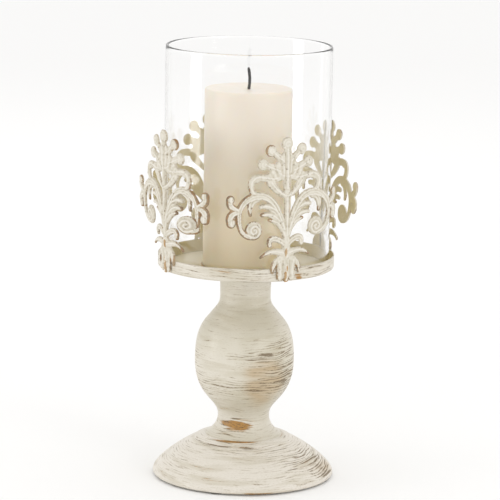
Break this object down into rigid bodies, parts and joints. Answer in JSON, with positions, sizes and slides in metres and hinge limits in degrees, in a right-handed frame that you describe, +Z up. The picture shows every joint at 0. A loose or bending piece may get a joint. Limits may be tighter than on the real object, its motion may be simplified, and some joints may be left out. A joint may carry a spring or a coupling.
{
  "type": "pillar candle holder",
  "caption": "Pedestal candle holder with domed base, turned stem, leaf gallery, pillar candle and lift-off glass cylinder.",
  "frame": {"origin": "centre of the plane that the felt pads stand on, on the axis of the stem", "axes": "+Z up along the stem; leaf panels 1 to 4 face -Y, +X, +Y and -X; the picture looks from 27 degrees to the -X side of -Y"},
  "size_m": [0.1639, 0.1599, 0.3762],
  "materials": {
    "cream_paint": "satin, worn, brushed rings",
    "leaf_paint": "satin, brown wear on edges",
    "ivory_wax": "smooth wax",
    "wick_cotton": "charred cotton",
    "clear_glass": "clear, polished lips",
    "zinc_steel": "zinc plated",
    "felt": "felt"
  },
  "bodies": {
    "pedestal": {"base_dome": "cream_paint", "stem": "cream_paint", "tray": "cream_paint", "leaf_panel_1": "leaf_paint", "leaf_panel_2": "leaf_paint", "leaf_panel_3": "leaf_paint", "leaf_panel_4": "leaf_paint", "foot_disc": "zinc_steel", "neck_disc": "zinc_steel", "head_washer": "zinc_steel", "tie_bolt": "zinc_steel", "clamp_washer": "zinc_steel", "lock_washer": "zinc_steel", "clamp_nut": "zinc_steel", "felt_pad_1": "felt", "felt_pad_2": "felt", "felt_pad_3": "felt", "felt_pad_4": "felt"},
    "candle_body": {"candle": "ivory_wax", "wick": "wick_cotton"},
    "glass_body": {"glass_cylinder": "clear_glass"}
  },
  "joints": [
    {"name": "glass_lift", "type": "slide", "parent": "pedestal", "child": "glass_body", "axis": [0, 0, 1], "range_m": [0, 0.2]},
    {"name": "candle_lift", "type": "slide", "parent": "pedestal", "child": "candle_body", "axis": [0, 0, 1], "range_m": [0, 0.2]}
  ]
}
